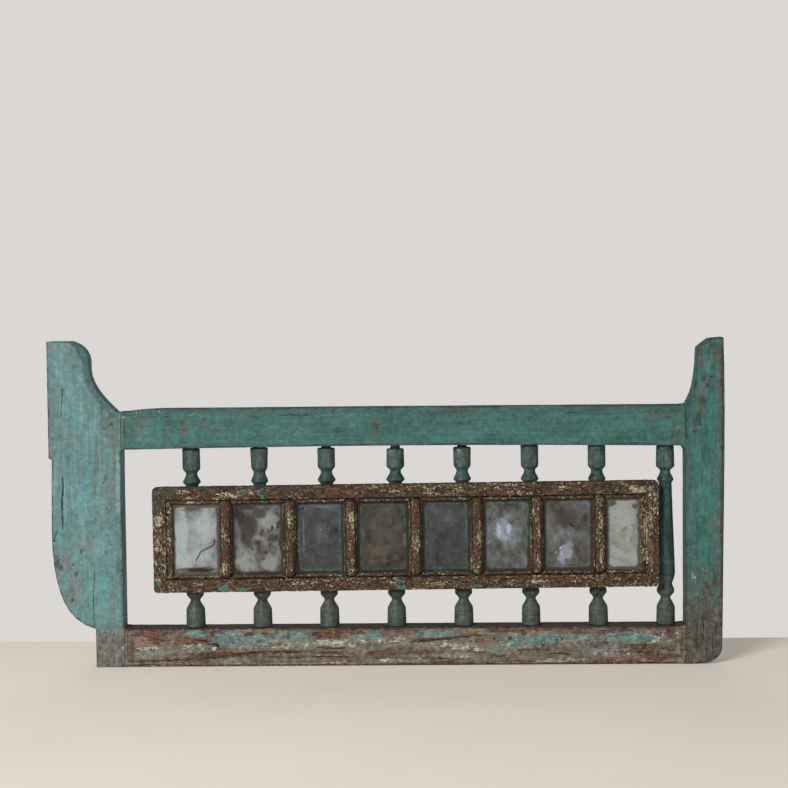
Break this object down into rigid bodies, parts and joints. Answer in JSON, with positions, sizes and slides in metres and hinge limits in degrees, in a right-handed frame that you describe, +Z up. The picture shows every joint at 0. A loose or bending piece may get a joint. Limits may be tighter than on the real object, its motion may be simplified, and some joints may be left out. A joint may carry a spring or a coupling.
{
  "type": "decorative wood panel with turned balusters and a mirror frame",
  "caption": "Weathered painted side panel: uneven scrolled posts, two rails, turned balusters and a long mirrored moulding nailed across them.",
  "frame": {"origin": "bottom centre of the panel, on the floor, mid-width and mid-depth of the posts", "axes": "+X to the right along the rails, +Y towards the plain back, +Z up"},
  "size_m": [1.503, 0.0853, 0.73],
  "materials": {
    "pale_teal_wood": "weathered pale teal paint with streaks, stains and cracks",
    "teal_wood": "old teal paint, worn to grey and brown at the arrises",
    "worn_wood": "bare red-brown wood with remains of blue and teal paint",
    "baluster_wood": "dark grey-green paint, rubbed",
    "frame_wood": "brown wood with flaking cream paint",
    "aged_mirror": "aged mirror glass with mottled silvering",
    "bare_board": "bare aged board",
    "old_iron": "dull painted-over iron"
  },
  "bodies": {
    "root": {"left_post": "pale_teal_wood", "right_post": "teal_wood", "top_rail": "teal_wood", "bottom_rail": "worn_wood", "baluster_1": "baluster_wood", "baluster_2": "baluster_wood", "baluster_3": "baluster_wood", "baluster_4": "baluster_wood", "baluster_5": "baluster_wood", "baluster_6": "baluster_wood", "baluster_7": "baluster_wood", "baluster_8": "baluster_wood", "frame_top_rail": "frame_wood", "frame_bottom_rail": "frame_wood", "frame_left_stile": "frame_wood", "frame_right_stile": "frame_wood", "frame_mullion_1": "frame_wood", "frame_mullion_2": "frame_wood", "frame_mullion_3": "frame_wood", "frame_mullion_4": "frame_wood", "frame_mullion_5": "frame_wood", "frame_mullion_6": "frame_wood", "frame_mullion_7": "frame_wood", "mirror_pane_1": "aged_mirror", "mirror_pane_2": "aged_mirror", "mirror_pane_3": "aged_mirror", "mirror_pane_4": "aged_mirror", "mirror_pane_5": "aged_mirror", "mirror_pane_6": "aged_mirror", "mirror_pane_7": "aged_mirror", "mirror_pane_8": "aged_mirror", "mirror_backboard": "bare_board", "frame_nail_1": "old_iron", "frame_nail_2": "old_iron", "frame_nail_3": "old_iron"}
  },
  "joints": []
}
